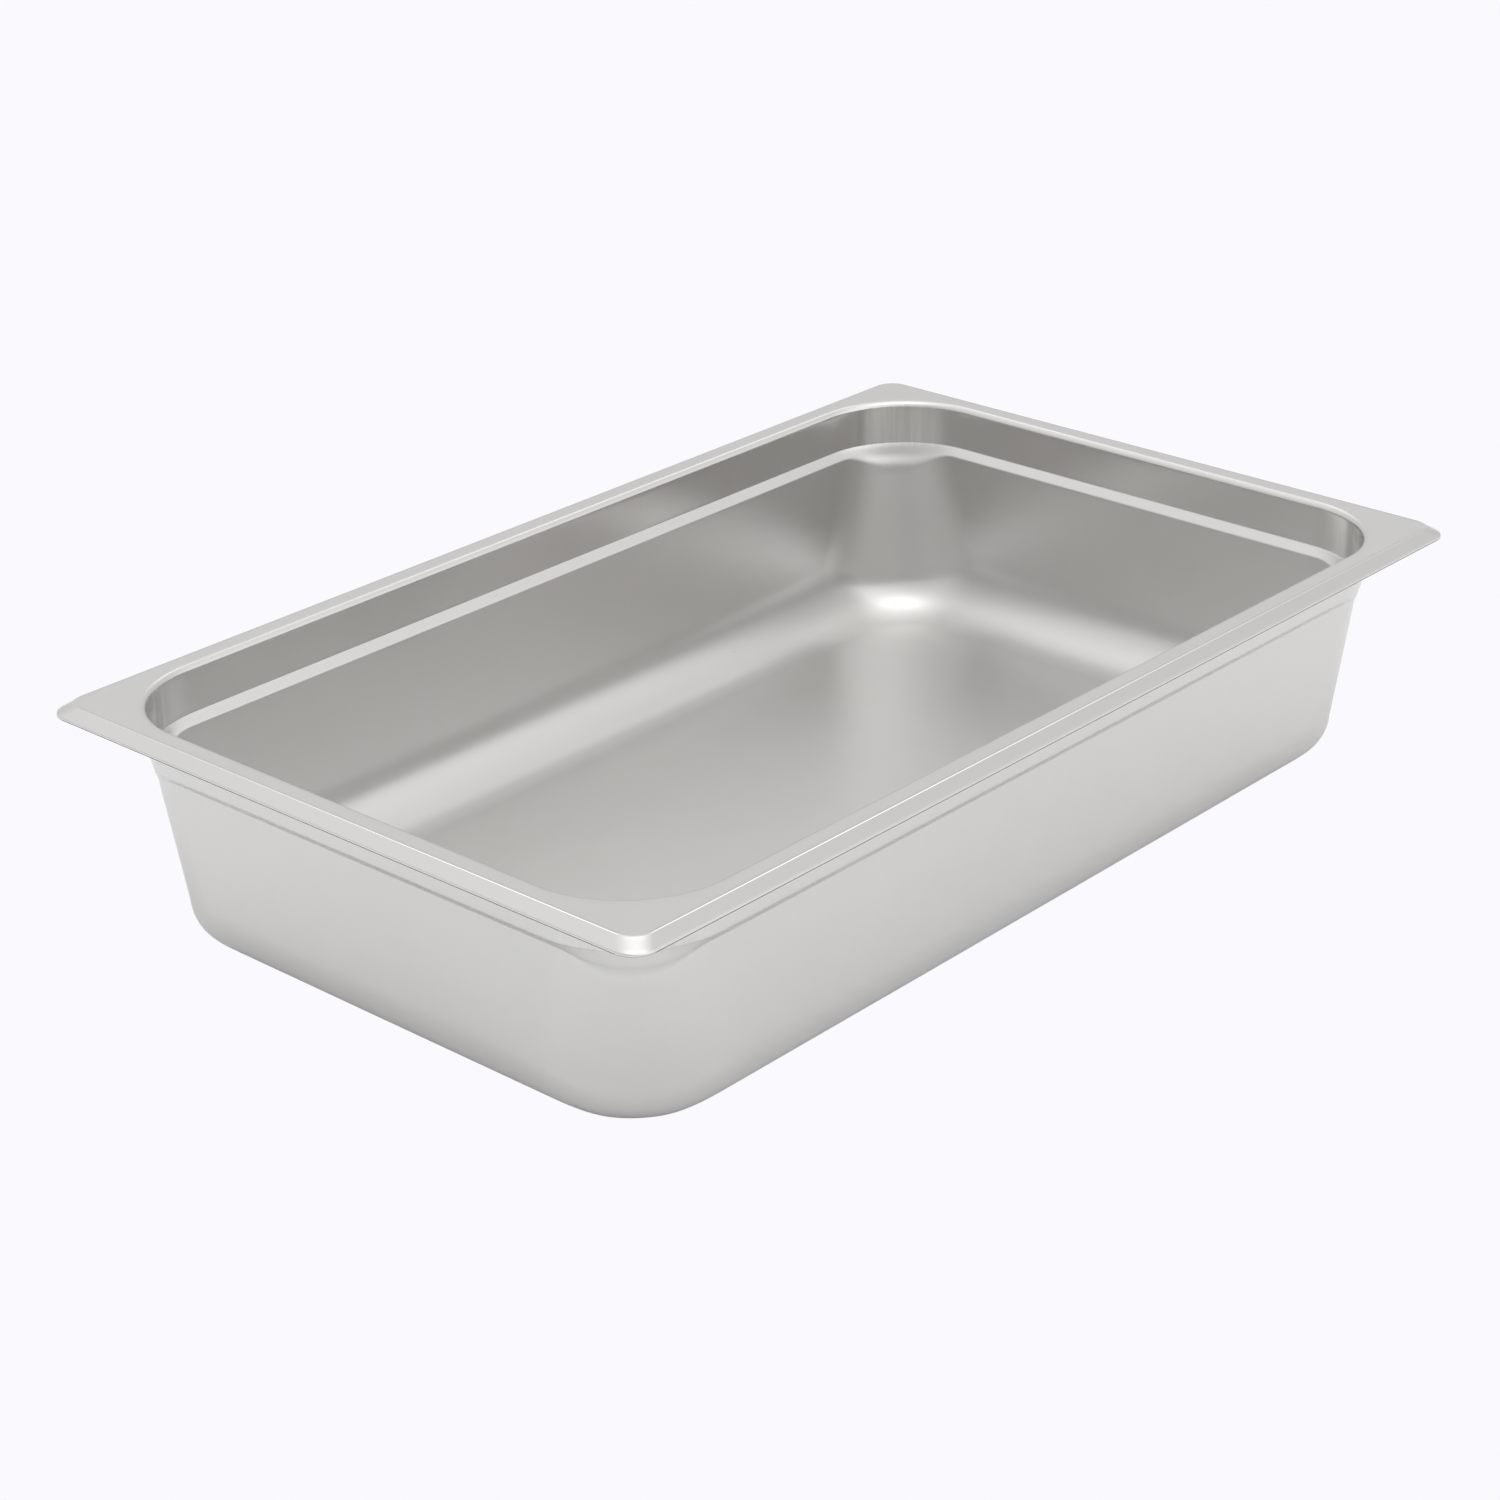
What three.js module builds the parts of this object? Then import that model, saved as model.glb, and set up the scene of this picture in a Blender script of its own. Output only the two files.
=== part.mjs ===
// Full-size food pan for a deli counter or a steam table, pressed from one
// sheet of stainless steel. Millimetres, +Z up.
//
// Origin: centre of the flat resting face under the floor.
// X runs along the pan's length, Y across its width.
//
// A cross-section of the sheet's upper skin (outside of the lip, top of the
// flange, inside of the well) is carried round the pan on rounded rectangles.
// The lower skin lies one sheet thickness away. Sections are held as inset
// (how far in from the outermost edge) and drop (how far down from the
// flange's top). One section holds along the sides and one on the diagonal of
// each corner; points between them are blended.

import * as THREE from 'three';

// ---- driving dimensions ---------------------------------------------------
const LENGTH = 527;          // over the lip, along X
const WIDTH = 324;           // over the lip, along Y
const HEIGHT = 105;          // resting face to the top of the flange
const SHEET = 0.8;           // sheet thickness

const LIP_DROP = 4.8;        // flange top to the lip's lower edge
const LIP_UPRIGHT = 1.1;     // upright band at the lip's lower edge
const LIP_RUN = 5.1;         // how far the sloping face of the lip reaches in
const LIP_HEM_RADIUS = 1.2;  // bend between sloping face and upright band
const FOLD_RADIUS = 1.5;     // bend between flange and lip

const COLLAR_INSET = 15.0;   // inner face of the collar, below the flange
const COLLAR_DRAFT = 0.15;   // how far the collar leans in by the shoulder
const MOUTH_RADIUS = 2.8;    // bend from flange into collar
const SHOULDER_TOP = 20.9;   // drop where the stacking shoulder starts
const SHOULDER_HOLLOW = 1.2; // bend radius at the top of the shoulder
const FLOOR_DROP = HEIGHT - SHEET; // flange top to the floor's upper face

// Where the two sections differ. On the diagonal the shoulder is softer, the
// wall leans in more and the floor bend is tighter.
const SIDE = {
  shoulderEnd: 24.7,         // drop where the shoulder ends
  shoulderRound: 1.6,        // bend radius at the foot of the shoulder
  wallInset: 18.4,           // inner face of the wall, just below the shoulder
  wallDraft: 0.3,            // how far the wall leans in by the floor
  floorRadius: 28,           // inner radius between wall and floor
};
const DIAGONAL = {
  shoulderEnd: 31.0,
  shoulderRound: 16.0,
  wallInset: 19.9,
  wallDraft: 1.9,
  floorRadius: 19.5,
};

const FLAT_MARGIN = 1;       // flat floor left outside the last ring, at least
const FLOOR_INSET = SIDE.wallInset + SIDE.wallDraft + SIDE.floorRadius + FLAT_MARGIN;

// Plan radii of the pan's corners
const LIP_CORNER = 10.1;     // outermost edge
const FOLD_CORNER = 9.5;     // fold between flange and lip
const COLLAR_CORNER = 46;    // collar's inner face
const WALL_CORNER = 38.2;    // wall's inner face at its top
const FLOOR_CORNER = 54.5;   // wall's inner face at its foot

const CORNER_STEPS = 10;     // facets in each quarter turn of the plan
const BLEND_POWER = 3.2;     // higher spreads the diagonal section further round a corner

// ---- cross-sections -------------------------------------------------------
// Control points of the upper skin, from the lip's lower edge to the floor.
// `radius` and `facets` describe the bend there, and `corner` is the plan
// corner radius. The two end points have no bend.
function sectionControls({ shoulderEnd, shoulderRound, wallInset, wallDraft, floorRadius }) {
  const controls = [
    { inset: 0, drop: LIP_DROP, corner: LIP_CORNER },
    {
      inset: 0, drop: LIP_DROP - LIP_UPRIGHT,
      radius: LIP_HEM_RADIUS, facets: 3, corner: LIP_CORNER,
    },
    { inset: LIP_RUN, drop: 0, radius: FOLD_RADIUS, facets: 3, corner: FOLD_CORNER },
    { inset: COLLAR_INSET, drop: 0, radius: MOUTH_RADIUS, facets: 5, corner: COLLAR_CORNER },
    {
      inset: COLLAR_INSET + COLLAR_DRAFT, drop: SHOULDER_TOP,
      radius: SHOULDER_HOLLOW, facets: 3, corner: COLLAR_CORNER - COLLAR_DRAFT,
    },
    {
      inset: wallInset, drop: shoulderEnd,
      radius: shoulderRound, facets: 4, corner: WALL_CORNER,
    },
    {
      inset: wallInset + wallDraft, drop: FLOOR_DROP,
      radius: floorRadius, facets: 9, corner: FLOOR_CORNER, floorBend: true,
    },
    {
      inset: FLOOR_INSET, drop: FLOOR_DROP,
      corner: FLOOR_CORNER - SIDE.floorRadius - FLAT_MARGIN,
    },
  ];
  return controls.map((control) => ({
    ...control,
    at: new THREE.Vector2(control.inset, control.drop),
  }));
}

const quarterTurned = (direction) => new THREE.Vector2(-direction.y, direction.x);

const directionBetween = (from, to) => to.at.clone().sub(from.at).normalize();

// The bend at a control point: an arc tangent to the straights before and
// after it.
function sampleBend(control, before, after) {
  const { at: vertex, radius, facets, corner, floorBend } = control;
  const turn = Math.atan2(before.cross(after), before.dot(after));
  const tangentLength = radius * Math.tan(Math.abs(turn) / 2);
  const start = vertex.clone().addScaledVector(before, -tangentLength);
  const centre = start.clone().addScaledVector(quarterTurned(before), Math.sign(turn) * radius);
  const startAngle = Math.atan2(start.y - centre.y, start.x - centre.x);
  const arc = new THREE.ArcCurve(
    centre.x, centre.y, radius, startAngle, startAngle + turn, turn < 0);
  return arc.getPoints(facets).map((at, i) => {
    const direction = before.clone().rotateAround(new THREE.Vector2(), turn * (i / facets));
    const inward = at.x - vertex.x;
    // Above the floor bend the wall keeps its full plan radius.
    const tightening = floorBend ? Math.max(0, inward) : inward;
    return { at, normal: quarterTurned(direction), corner: corner - tightening };
  });
}

// A sample holds its place (inset, drop), its normal towards the lower skin
// and the plan corner radius of the ring that passes through it.
function sampleSection(dimensions) {
  const controls = sectionControls(dimensions);
  return controls.flatMap((control, i) => {
    const before = i > 0 ? directionBetween(controls[i - 1], control) : null;
    const after = i < controls.length - 1 ? directionBetween(control, controls[i + 1]) : null;
    if (before && after) return sampleBend(control, before, after);
    return [{ at: control.at, normal: quarterTurned(before || after), corner: control.corner }];
  });
}

// ---- plan rings -----------------------------------------------------------
// Signs of X and Y at each corner, counter-clockwise from above
const QUADRANTS = [[1, 1], [-1, 1], [-1, -1], [1, -1]];

// A rounded rectangle through one sample of each section. `offset` is how far
// it lies from the upper skin, towards the lower one. The plan radius is the
// side sample's; the diagonal sample only shifts the corner points.
function planRing(side, diagonal, offset) {
  const sidePlace = side.at.clone().addScaledVector(side.normal, offset);
  const diagonalPlace = diagonal.at.clone().addScaledVector(diagonal.normal, offset);
  const shift = diagonalPlace.x - sidePlace.x;
  const radius = side.corner - offset * side.normal.x;
  const centreX = LENGTH / 2 - sidePlace.x - radius;
  const centreY = WIDTH / 2 - sidePlace.x - radius;

  return QUADRANTS.flatMap(([signX, signY], quadrant) => {
    const startAngle = quadrant * Math.PI / 2;
    const arc = new THREE.ArcCurve(
      signX * centreX, signY * centreY, radius, startAngle, startAngle + Math.PI / 2, false);
    return arc.getPoints(CORNER_STEPS).map((point, i) => {
      const sweep = (Math.PI / 2) * (i / CORNER_STEPS);
      const angle = startAngle + sweep;
      // 0 at the ends of the quarter turn, 1 on the diagonal
      const blend = 1 - Math.abs(Math.cos(2 * sweep)) ** BLEND_POWER;
      return new THREE.Vector3(
        point.x - shift * blend * Math.cos(angle),
        point.y - shift * blend * Math.sin(angle),
        HEIGHT - THREE.MathUtils.lerp(sidePlace.y, diagonalPlace.y, blend),
      );
    });
  });
}

// ---- loft -----------------------------------------------------------------
// Both skins run from the lip's edge to the floor. The sheet's cut edge joins
// them at the lip, and each skin's flat floor closes its own end.
function panGeometry() {
  const sides = sampleSection(SIDE);
  const diagonals = sampleSection(DIAGONAL);
  const skin = (offset) => sides.map((side, i) => planRing(side, diagonals[i], offset));
  const upperRings = skin(0);
  const lowerRings = skin(SHEET);
  const positions = [...upperRings, ...lowerRings].flat().flatMap((point) => point.toArray());

  const ringCount = sides.length;
  const ringSize = upperRings[0].length;
  const last = ringCount - 1;
  const upper = (ring, k) => ring * ringSize + (k % ringSize);
  const lower = (ring, k) => upper(ringCount + ring, k);

  const indices = [];
  const addQuad = (a, b, c, d) => indices.push(a, b, c, a, c, d);
  for (let i = 0; i < last; i++) {
    for (let k = 0; k < ringSize; k++) {
      addQuad(upper(i, k), upper(i, k + 1), upper(i + 1, k + 1), upper(i + 1, k));
      addQuad(lower(i, k), lower(i + 1, k), lower(i + 1, k + 1), lower(i, k + 1));
    }
  }
  for (let k = 0; k < ringSize; k++) {
    addQuad(lower(0, k), lower(0, k + 1), upper(0, k + 1), upper(0, k));
  }
  const floorOutline = upperRings[last].map((point) => new THREE.Vector2(point.x, point.y));
  for (const [a, b, c] of THREE.ShapeUtils.triangulateShape(floorOutline, [])) {
    indices.push(upper(last, a), upper(last, b), upper(last, c));
    indices.push(lower(last, a), lower(last, c), lower(last, b));
  }

  const geometry = new THREE.BufferGeometry();
  geometry.setAttribute('position', new THREE.Float32BufferAttribute(positions, 3));
  geometry.setIndex(indices);
  geometry.computeVertexNormals();
  return geometry;
}

// ---- material and assembly ------------------------------------------------
const satinSteel = new THREE.MeshStandardMaterial({
  name: 'steel',
  color: new THREE.Color(0.78, 0.775, 0.765),
  roughness: 0.34,
  metalness: 1.0,
});

const pan = new THREE.Mesh(panGeometry(), satinSteel);
pan.name = 'pan';

const group = new THREE.Group();
group.name = 'food_pan';
group.add(pan);

export default group;
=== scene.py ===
"""A pressed stainless steel pan with a folded lip, on a pale studio floor.

The pan is centred on x and y, its length along x, and its underside rests on z = 0.
Pan sizes are in millimetres. The camera and the floor are in metres.
"""

import math
from collections import namedtuple
from functools import partial

import bpy
from mathutils import Matrix, Vector


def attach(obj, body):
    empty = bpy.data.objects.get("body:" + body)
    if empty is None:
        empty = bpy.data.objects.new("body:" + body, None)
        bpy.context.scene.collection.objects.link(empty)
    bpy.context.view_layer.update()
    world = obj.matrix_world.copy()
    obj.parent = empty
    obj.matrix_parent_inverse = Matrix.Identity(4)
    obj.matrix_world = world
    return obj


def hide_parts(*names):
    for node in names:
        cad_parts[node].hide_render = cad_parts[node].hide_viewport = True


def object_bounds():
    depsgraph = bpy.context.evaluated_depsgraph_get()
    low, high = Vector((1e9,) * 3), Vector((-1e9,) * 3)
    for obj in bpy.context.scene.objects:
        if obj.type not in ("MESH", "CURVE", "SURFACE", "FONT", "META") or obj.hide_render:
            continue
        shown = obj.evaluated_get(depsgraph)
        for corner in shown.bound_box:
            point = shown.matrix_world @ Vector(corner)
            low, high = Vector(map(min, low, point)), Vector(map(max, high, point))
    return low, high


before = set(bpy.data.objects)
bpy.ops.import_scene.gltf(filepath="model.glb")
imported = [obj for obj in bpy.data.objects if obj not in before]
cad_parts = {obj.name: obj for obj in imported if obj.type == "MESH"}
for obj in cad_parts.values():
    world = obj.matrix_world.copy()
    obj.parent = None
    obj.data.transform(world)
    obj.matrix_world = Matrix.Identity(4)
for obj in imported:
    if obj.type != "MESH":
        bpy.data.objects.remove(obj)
cad_lo, cad_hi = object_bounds()

# ---------------------------------------------------------------------------
# Pan sizes. The pan is one sheet: a section carried round it on rounded
# rectangles. "Inset" is measured inwards from the lip's outermost edge,
# "drop" downwards from the flange top.
# ---------------------------------------------------------------------------
LENGTH = (cad_hi.x - cad_lo.x) * 1000
WIDTH = (cad_hi.y - cad_lo.y) * 1000
HEIGHT = (cad_hi.z - cad_lo.z) * 1000
SHEET = 0.8
FLOOR_DROP = HEIGHT - SHEET

LIP_DROP = 4.8
LIP_UPRIGHT = 1.1
LIP_RUN = 5.1
COLLAR_INSET = 15.0
COLLAR_DRAFT = 0.15
SHOULDER_TOP = 20.9
WALL_INSET = 18.4
WALL_DRAFT = 0.3
LEVEL_RUN = 29.0        # from the wall's foot to the end of the section
LEVEL_END = WALL_INSET + WALL_DRAFT + LEVEL_RUN

# corner radii seen from above
LIP_CORNER = 10.1
FOLD_CORNER = 9.5
COLLAR_CORNER = 46.0
WALL_CORNER = 38.2
FLOOR_CORNER = 54.5

# mesh divisions of each ring, and the rings across the middle of the floor
CORNER_STEPS = 36
LONG_STEPS = 56
SHORT_STEPS = 34
FLOOR_RINGS = 11

FLOOR_CROWN = 0.12      # rise of the floor's upper skin towards its middle
FLOOR_MARGIN = 1.5      # half-width of the innermost floor ring
FLOOR_MIN_CORNER = 0.8
CORNER_FALLOFF = 3.2    # higher spreads the corner shape over more of the arc
NOSE_ANGLES = (155, 125, 90, 55, 25)    # degrees round the cut edge, from the lower skin

# The waver fades in below the flange and out above the floor.
RIPPLE_SIZE = 0.045
RIPPLE_START, RIPPLE_FADE_IN, RIPPLE_FADE_OUT = 3.0, 6.0, 12.0

# one point of the section: its place, the direction through the sheet, the plan corner radius
Sample = namedtuple("Sample", "inset drop normal_inset normal_drop corner")


def clamp(value):
    return min(1.0, max(0.0, value))


def ramp(value, start, over):
    """Rise smoothly from 0 at start to 1 a distance over further on."""
    t = clamp((value - start) / over)
    return t * t * (3 - 2 * t)


def rotated(vector, angle):
    cos, sin = math.cos(angle), math.sin(angle)
    return Vector((vector.x * cos - vector.y * sin, vector.x * sin + vector.y * cos))


def section(shoulder_end, shoulder_round, wall_inset, wall_draft, floor_round):
    """Sample the upper skin from the lip's lower edge to the level floor."""
    # (inset, drop), bend radius, plan corner radius, steps in bend, steps in straight before it
    stations = [
        ((0.0, LIP_DROP), 0.0, LIP_CORNER, 0, 0),
        ((0.0, LIP_DROP - LIP_UPRIGHT), 1.2, LIP_CORNER, 7, 2),
        ((LIP_RUN, 0.0), 1.5, FOLD_CORNER, 9, 3),
        ((COLLAR_INSET, 0.0), 2.8, COLLAR_CORNER, 14, 4),
        ((COLLAR_INSET + COLLAR_DRAFT, SHOULDER_TOP), 1.2, COLLAR_CORNER - COLLAR_DRAFT, 8, 7),
        ((wall_inset, shoulder_end), shoulder_round, WALL_CORNER, 10, 2),
        ((wall_inset + wall_draft, FLOOR_DROP), floor_round, FLOOR_CORNER, 30, 14),
        ((LEVEL_END, FLOOR_DROP), 0.0, FLOOR_CORNER - LEVEL_RUN, 0, 2),
    ]
    points = [Vector(station[0]) for station in stations]
    headings = [(end - start).normalized() for start, end in zip(points, points[1:])]
    floor_bend = len(stations) - 2
    samples = []

    def add(point, heading, corner):
        samples.append(Sample(point.x, point.y, -heading.y, heading.x, corner))

    def add_straight(end, end_corner, heading, steps, parts):
        for k in range(1, steps + 1):
            t = k / parts
            corner = last_corner + (end_corner - last_corner) * t
            add(last_point.lerp(end, t), heading, corner)

    last_point, last_corner = points[0], stations[0][2]
    add(last_point, headings[0], last_corner)
    for i in range(1, len(stations) - 1):
        _, radius, corner, bend_steps, straight_steps = stations[i]
        here, before, after = points[i], headings[i - 1], headings[i]

        def corner_at(point):
            inwards = point.x - here.x
            # up to the wall's foot the corner radius holds, then it shrinks with the inset
            return corner - (max(0.0, inwards) if i == floor_bend else inwards)

        turn = math.atan2(before.x * after.y - before.y * after.x, before.dot(after))
        start = here - before * (radius * math.tan(abs(turn) / 2))
        side = 1.0 if turn >= 0 else -1.0
        centre = start + Vector((-before.y, before.x)) * side * radius
        add_straight(start, corner_at(start), before, straight_steps, straight_steps + 1)
        for k in range(bend_steps + 1):
            angle = turn * k / bend_steps
            last_point = centre + rotated(start - centre, angle)
            last_corner = corner_at(last_point)
            add(last_point, rotated(before, angle), last_corner)
    _, _, corner, _, steps = stations[-1]
    add_straight(points[-1], corner, headings[-1], steps, steps)
    return samples


SIDE = section(
    shoulder_end=24.7, shoulder_round=1.6,
    wall_inset=WALL_INSET, wall_draft=WALL_DRAFT, floor_round=28.0)
# on a corner's diagonal the shoulder is softer, the wall leans in and the floor bend is tighter
DIAGONAL = section(
    shoulder_end=31.0, shoulder_round=16.0,
    wall_inset=19.9, wall_draft=1.9, floor_round=19.5)


def plan(inset, radius):
    """Rounded rectangle, anticlockwise from above: x, y, outward normal x, y, corner weight."""
    centre_x = LENGTH / 2 - inset - radius
    centre_y = WIDTH / 2 - inset - radius
    # side of x, side of y, start angle of the arc, steps in the straight after it
    corners = (
        (1, 1, 0, LONG_STEPS),
        (-1, 1, 90, SHORT_STEPS),
        (-1, -1, 180, LONG_STEPS),
        (1, -1, 270, SHORT_STEPS),
    )
    ring = []
    for i, (side_x, side_y, start_angle, steps) in enumerate(corners):
        for k in range(CORNER_STEPS + 1):
            swept = math.radians(90.0 * k / CORNER_STEPS)
            angle = math.radians(start_angle) + swept
            nx, ny = math.cos(angle), math.sin(angle)
            weight = 1 - abs(math.cos(2 * swept)) ** CORNER_FALLOFF
            x = side_x * centre_x + radius * nx
            y = side_y * centre_y + radius * ny
            ring.append((x, y, nx, ny, weight))
        next_x, next_y = corners[(i + 1) % 4][:2]
        end_x = next_x * centre_x + radius * nx
        end_y = next_y * centre_y + radius * ny
        for k in range(1, steps):
            t = k / steps
            ring.append((x + (end_x - x) * t, y + (end_y - y) * t, nx, ny, 0.0))
    return ring


def ripple(x, y, z):
    """The slow unevenness a drawn sheet keeps, a few hundredths of a millimetre."""
    return RIPPLE_SIZE * (
        math.sin(0.031 * x + 0.047 * z + 0.6) * math.sin(0.043 * y + 0.9)
        + 0.6 * math.sin(0.073 * x - 0.051 * y + 0.11 * z + 2.1)
        + 0.35 * math.sin(0.12 * x + 0.09 * y + 0.8)
    )


def ripple_share(side):
    """Only the collar and walls waver; the flange, lip and resting face stay true."""
    if side.inset <= COLLAR_INSET - 1:
        return 0.0
    fade_in = clamp((side.drop - RIPPLE_START) / RIPPLE_FADE_IN)
    return fade_in * clamp((FLOOR_DROP - side.drop) / RIPPLE_FADE_OUT)


def skin(depth):
    """Rings of the skin that lies depth below the upper one, as rows of x, y, z, weight."""
    rows = []
    for i, (side, diagonal) in enumerate(zip(SIDE, DIAGONAL)):
        side_inset = side.inset + depth * side.normal_inset
        side_drop = side.drop + depth * side.normal_drop
        inset_change = diagonal.inset + depth * diagonal.normal_inset - side_inset
        drop_change = diagonal.drop + depth * diagonal.normal_drop - side_drop
        share = ripple_share(side)
        # the first ring is lifted, so that the rounded edge ends at the lip's lowest point
        lift = SHEET / 2 if i == 0 else 0.0
        row = []
        for x, y, nx, ny, weight in plan(side_inset, side.corner - depth * side.normal_inset):
            z = HEIGHT - (side_drop + drop_change * weight)
            shift = inset_change * weight + ripple(x, y, z) * share
            row.append((x - nx * shift, y - ny * shift, z + lift, weight))
        rows.append(row)
    return rows


def floor_rings(base_z, crown):
    """Rings from the end of the section to the middle of the floor."""
    edge = SIDE[-1]
    rows = []
    for k in range(1, FLOOR_RINGS + 1):
        t = k / FLOOR_RINGS
        run = (WIDTH / 2 - edge.inset - FLOOR_MARGIN) * t
        z = base_z + crown * ramp(t, start=0.0, over=1.0)
        ring = plan(edge.inset + run, max(edge.corner - run, FLOOR_MIN_CORNER))
        rows.append([(x, y, z, 0.0) for x, y, *_ in ring])
    return rows


def nose():
    """Rounded rings that finish the sheet's cut edge under the lip."""
    radius = SHEET / 2
    rows = []
    for degrees in NOSE_ANGLES:
        angle = math.radians(degrees)
        inset = radius - radius * math.cos(angle)
        z = HEIGHT - (LIP_DROP - radius + radius * math.sin(angle))
        ring = plan(inset, LIP_CORNER - inset)
        rows.append([(x, y, z, weight) for x, y, _, _, weight in ring])
    return rows


def zone_weights(x, y, z):
    """How far a point belongs to the folded lip and to the collar."""
    drop = HEIGHT - z
    edge = min(LENGTH / 2 - abs(x), WIDTH / 2 - abs(y))
    lip = (1 - ramp(edge, LIP_RUN, over=1.6)) * (1 - ramp(drop, start=5.5, over=1.0))
    collar = 0.0
    if edge > LIP_RUN + 3:
        below_flange = ramp(drop, start=0.4, over=1.8)
        collar = below_flange * (1 - ramp(drop, SHOULDER_TOP - 1.0, over=3.0))
    return lip, collar


def build_pan():
    lower = skin(SHEET) + floor_rings(base_z=0.0, crown=0.0)
    upper = skin(0.0) + floor_rings(base_z=SHEET, crown=FLOOR_CROWN)
    rows = lower[::-1] + nose() + upper
    points = [point for row in rows for point in row]

    count = len(rows[0])
    faces = []
    for i in range(len(rows) - 1):
        this, following = i * count, (i + 1) * count
        for k in range(count):
            m = (k + 1) % count
            faces.append((this + k, this + m, following + m, following + k))
    # one face closes the middle of each skin
    faces.append(tuple(range(len(points) - count, len(points))))
    faces.append(tuple(reversed(range(count))))

    mesh = bpy.data.meshes.new("pan_shell")
    mesh.from_pydata([(x / 1000, y / 1000, z / 1000) for x, y, z, _ in points], [], faces)
    mesh.validate()
    shell = bpy.data.objects.new("pan_shell", mesh)
    bpy.context.scene.collection.objects.link(shell)
    for polygon in mesh.polygons:
        polygon.use_smooth = True

    # weights that the steel reads
    zones = [zone_weights(x, y, z) for x, y, z, _ in points]
    weights = {
        "corner": [point[3] for point in points],
        "lip": [lip for lip, _ in zones],
        "collar": [collar for _, collar in zones],
    }
    for name, values in weights.items():
        mesh.attributes.new(name, "FLOAT", "POINT").data.foreach_set("value", values)
    return shell


pan = build_pan()


# ---------------------------------------------------------------------------
# Shader node helpers
# ---------------------------------------------------------------------------
def empty_tree(owner):
    owner.use_nodes = True
    owner.node_tree.nodes.clear()
    return owner.node_tree


def add_node(tree, kind, inputs=None, **settings):
    """Add a node; each input is given a value or another node's output socket."""
    node = tree.nodes.new(kind)
    for name, value in settings.items():
        setattr(node, name, value)
    for key, value in (inputs or {}).items():
        if isinstance(value, bpy.types.NodeSocket):
            tree.links.new(value, node.inputs[key])
        else:
            node.inputs[key].default_value = value
    return node


def add_math(tree, operation, *values, clamped=False):
    inputs = dict(enumerate(values))
    node = add_node(tree, "ShaderNodeMath", inputs, operation=operation, use_clamp=clamped)
    return node.outputs[0]


def by_camera_ray(tree, lighting, seen):
    """The camera sees one shader, all other rays meet the other."""
    path = add_node(tree, "ShaderNodeLightPath")
    mix = add_node(tree, "ShaderNodeMixShader", {
        0: path.outputs["Is Camera Ray"],
        1: lighting.outputs[0],
        2: seen.outputs[0],
    })
    return mix.outputs[0]


# ---------------------------------------------------------------------------
# Satin stainless steel
# ---------------------------------------------------------------------------
REFLECT = (0.668, 0.664, 0.657)
FILM_TINT = (1.006, 0.996, 0.984)       # the faint warm film, as a factor on REFLECT
ROUGH = {"sheet": 0.33, "collar": 0.22, "lip": 0.11}
ROUGH_MIN = 0.08

# noises: scale in cycles per metre
NOISES = {
    "clouds": dict(scale=14.0, detail=2.0),         # slow mottle, about 70 mm
    "patches": dict(scale=70.0, detail=3.0),        # handling marks, about 15 mm
    "grain": dict(scale=1400.0, detail=2.0),        # satin grain, under a millimetre
    "drawn": dict(scale=420.0, detail=3.0, stretch=(1, 1, 0.035)),  # upright marks of the draw
}
DRAWN_MIN = 0.04        # share of the drawing marks on corners outside the collar

# how much of each noise goes into roughness, colour and relief
ROUGH_SPREAD = {"clouds": 0.030, "patches": 0.030, "grain": 0.035, "drawn": 0.16}
COLOUR_SPREAD = {"clouds": 0.030, "patches": 0.022, "grain": 0.040, "drawn": 0.50}
RELIEF_SPREAD = {"grain": 1.0, "drawn": 2.5}
FILM_SPREAD = 1.6

# specks: cells per metre, radius within a cell, cells passed over, darkening
SPECK = {"scale": 34.0, "radius": 0.022, "skipped": 0.80, "depth": 0.10}
BUMP = {"Strength": 0.10, "Distance": 0.00004}


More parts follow.
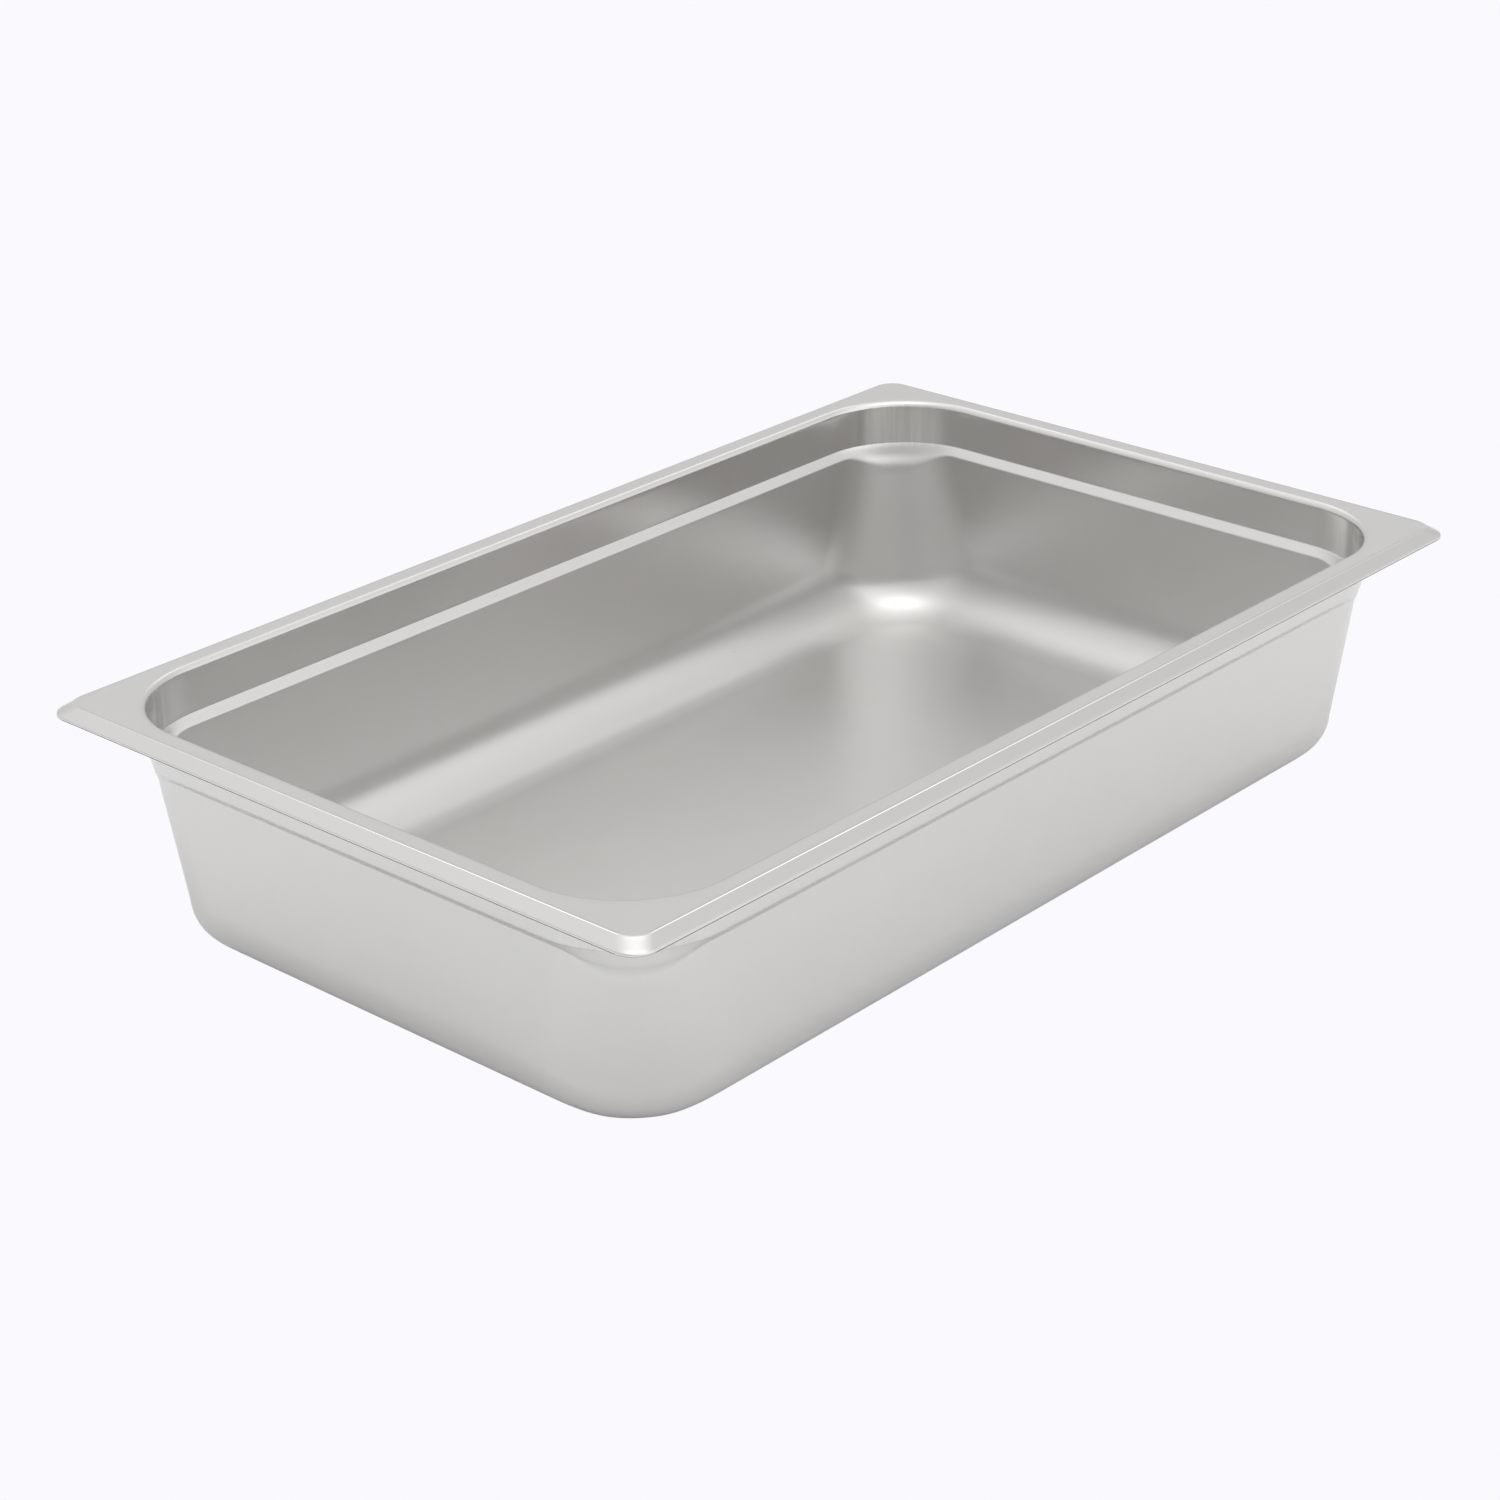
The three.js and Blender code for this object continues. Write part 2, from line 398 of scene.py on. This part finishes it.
def steel_material():
    material = bpy.data.materials.new("satin_steel")
    tree = empty_tree(material)
    node = partial(add_node, tree)
    calc = partial(add_math, tree)
    coords = node("ShaderNodeTexCoord").outputs["Object"]

    def attribute(name):
        return node("ShaderNodeAttribute", attribute_name=name).outputs["Fac"]

    def noise(scale, detail, stretch=(1, 1, 1)):
        """Noise centred on zero, about -0.5 to 0.5."""
        mapping = node("ShaderNodeMapping", {"Scale": stretch, "Vector": coords})
        texture = node("ShaderNodeTexNoise", {
            "Scale": scale,
            "Detail": detail,
            "Roughness": 0.5,
            "Vector": mapping.outputs[0],
        })
        return calc("SUBTRACT", texture.outputs[0], 0.5)

    corner, lip, collar = attribute("corner"), attribute("lip"), attribute("collar")
    noises = {name: noise(**values) for name, values in NOISES.items()}
    worked = calc("MULTIPLY", corner, calc("MAXIMUM", collar, DRAWN_MIN))

    def portion(name, amount):
        source = noises[name]
        if name == "drawn":
            source = calc("MULTIPLY", source, worked)
        return calc("MULTIPLY", source, amount)

    def varied(value, spread):
        for name, amount in spread.items():
            value = calc("ADD", value, portion(name, amount))
        return value

    # roughness: the zone's own value, then the variation
    rough = ROUGH["sheet"]
    for name, mask in (("collar", collar), ("lip", lip)):
        rough = calc("ADD", rough, calc("MULTIPLY", mask, ROUGH[name] - ROUGH["sheet"]))
    rough = calc("MAXIMUM", varied(rough, ROUGH_SPREAD), ROUGH_MIN)

    # a few tiny specks
    cells = node(
        "ShaderNodeTexVoronoi", {"Scale": SPECK["scale"], "Vector": coords}, feature="F1")
    pick = node("ShaderNodeSeparateColor", {0: cells.outputs["Color"]})
    near = calc("LESS_THAN", cells.outputs["Distance"], SPECK["radius"])
    chosen = calc("GREATER_THAN", pick.outputs[0], SPECK["skipped"])
    speck = calc("MULTIPLY", near, chosen)

    # colour: the film's tint, scaled by the variation and the specks
    value = varied(1.0, COLOUR_SPREAD)
    value = calc("SUBTRACT", value, calc("MULTIPLY", speck, SPECK["depth"]))
    film_noise = calc("MULTIPLY", noise(scale=9.0, detail=2.0), FILM_SPREAD)
    filmed = [reflect * tint for reflect, tint in zip(REFLECT, FILM_TINT)]
    film = node("ShaderNodeMix", data_type="RGBA", inputs={
        "A": (*REFLECT, 1),
        "B": (*filmed, 1),
        "Factor": calc("ADD", film_noise, 0.5, clamped=True),
    })
    colour = node("ShaderNodeVectorMath", operation="SCALE", inputs={
        0: film.outputs["Result"],
        "Scale": value,
    })

    # relief: grain everywhere, a little more where the sheet was drawn
    relief = calc("ADD", *[portion(name, amount) for name, amount in RELIEF_SPREAD.items()])
    bump = node("ShaderNodeBump", {**BUMP, "Height": relief})

    surface = node("ShaderNodeBsdfPrincipled", {
        "Metallic": 1.0,
        "Base Color": colour.outputs[0],
        "Roughness": rough,
        "Normal": bump.outputs[0],
    })
    node("ShaderNodeOutputMaterial", {0: surface.outputs[0]})
    return material


pan.data.materials.append(steel_material())
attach(pan, "root")
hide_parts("pan")

# ---------------------------------------------------------------------------
# Studio: pale floor, soft light all round
# ---------------------------------------------------------------------------
BACKDROP = (0.956, 0.948, 0.991, 1)     # what the camera sees of floor and world
FLOOR_COLOUR = (0.86, 0.86, 0.87, 1)    # what the floor bounces back
FLOOR_HALF = 40.0
FLOOR_Z = -0.0003                       # just clear of the pan's underside

WORLD_BASE = 0.75
# pools of light: azimuth and elevation in degrees, sharpness, strength
LOBES = [
    (240, 75, 10.0, 1.28),      # large overhead softbox, a little towards the camera
    (280, 15, 4.0, 0.58),       # low fill from the right of the camera
    (120, 50, 4.0, 0.26),       # weak fill from the left rear
    (20, 44, 110.0, 1.60),      # two small back lights, for the bright line along each near fold
    (64, 47, 110.0, 1.60),
]


def direction(azimuth, elevation):
    """Unit vector from angles in radians."""
    level = math.cos(elevation)
    return Vector((math.cos(azimuth) * level, math.sin(azimuth) * level, math.sin(elevation)))


def floor_material():
    material = bpy.data.materials.new("floor_pale")
    tree = empty_tree(material)
    diffuse = add_node(tree, "ShaderNodeBsdfDiffuse", {"Color": FLOOR_COLOUR})
    glow = add_node(tree, "ShaderNodeEmission", {"Color": BACKDROP})
    add_node(tree, "ShaderNodeOutputMaterial", {0: by_camera_ray(tree, diffuse, glow)})
    return material


def make_floor():
    s = FLOOR_HALF
    mesh = bpy.data.meshes.new("floor")
    mesh.from_pydata([(-s, -s, 0), (s, -s, 0), (s, s, 0), (-s, s, 0)], [], [(0, 1, 2, 3)])
    floor = bpy.data.objects.new("floor", mesh)
    bpy.context.scene.collection.objects.link(floor)
    floor.location.z = FLOOR_Z
    mesh.materials.append(floor_material())


def make_world():
    world = bpy.data.worlds.new("studio")
    bpy.context.scene.world = world
    tree = empty_tree(world)
    coords = add_node(tree, "ShaderNodeTexCoord").outputs["Generated"]
    total = WORLD_BASE
    for azimuth, elevation, sharpness, strength in LOBES:
        towards = direction(math.radians(azimuth), math.radians(elevation))
        dot = add_node(
            tree, "ShaderNodeVectorMath", {0: coords, 1: towards}, operation="DOT_PRODUCT")
        # total + strength * exp(sharpness * (dot - 1))
        falloff = add_math(
            tree, "MULTIPLY_ADD", dot.outputs["Value"], sharpness, -sharpness)
        pool = add_math(tree, "EXPONENT", falloff)
        total = add_math(tree, "MULTIPLY_ADD", pool, strength, total)
    light = add_node(tree, "ShaderNodeBackground", {"Color": (1, 1, 1, 1), "Strength": total})
    seen = add_node(tree, "ShaderNodeBackground", {"Color": BACKDROP})
    add_node(tree, "ShaderNodeOutputWorld", {0: by_camera_ray(tree, light, seen)})


make_floor()
make_world()

# ---------------------------------------------------------------------------
# Camera: looks along +x and +y, and down, at a point inside the pan
# ---------------------------------------------------------------------------
YAW, PITCH, ROLL = math.radians(42.059), math.radians(24.772), math.radians(-0.840)
DISTANCE = 1.4370
AIM = Vector((-0.03542, -0.01032, 0.055))
SENSOR_WIDTH = 36.0     # millimetres, like the focal length
FOCAL_LENGTH = 82.32


def make_camera():
    forward = direction(YAW, -PITCH)
    right = forward.cross(Vector((0, 0, 1))).normalized()
    above = right.cross(forward)
    cos, sin = math.cos(ROLL), math.sin(ROLL)
    axes = (right * cos + above * sin, above * cos - right * sin, -forward)

    lens = bpy.data.cameras.new("camera")
    lens.sensor_width = SENSOR_WIDTH
    lens.lens = FOCAL_LENGTH
    lens.clip_start = 0.01
    lens.clip_end = 100.0
    camera = bpy.data.objects.new("camera", lens)
    bpy.context.scene.collection.objects.link(camera)
    rotation = Matrix(axes).transposed().to_4x4()
    camera.matrix_world = Matrix.Translation(AIM - forward * DISTANCE) @ rotation
    bpy.context.scene.camera = camera


def set_render():
    view = bpy.context.scene.view_settings
    view.view_transform = "Standard"
    view.look = "None"
    view.exposure = 0.0
    view.gamma = 1.0
    cycles = bpy.context.scene.cycles
    cycles.use_denoising = True
    cycles.max_bounces = 10
    cycles.glossy_bounces = 8
    cycles.diffuse_bounces = 3
    cycles.sample_clamp_indirect = 6.0


make_camera()
set_render()
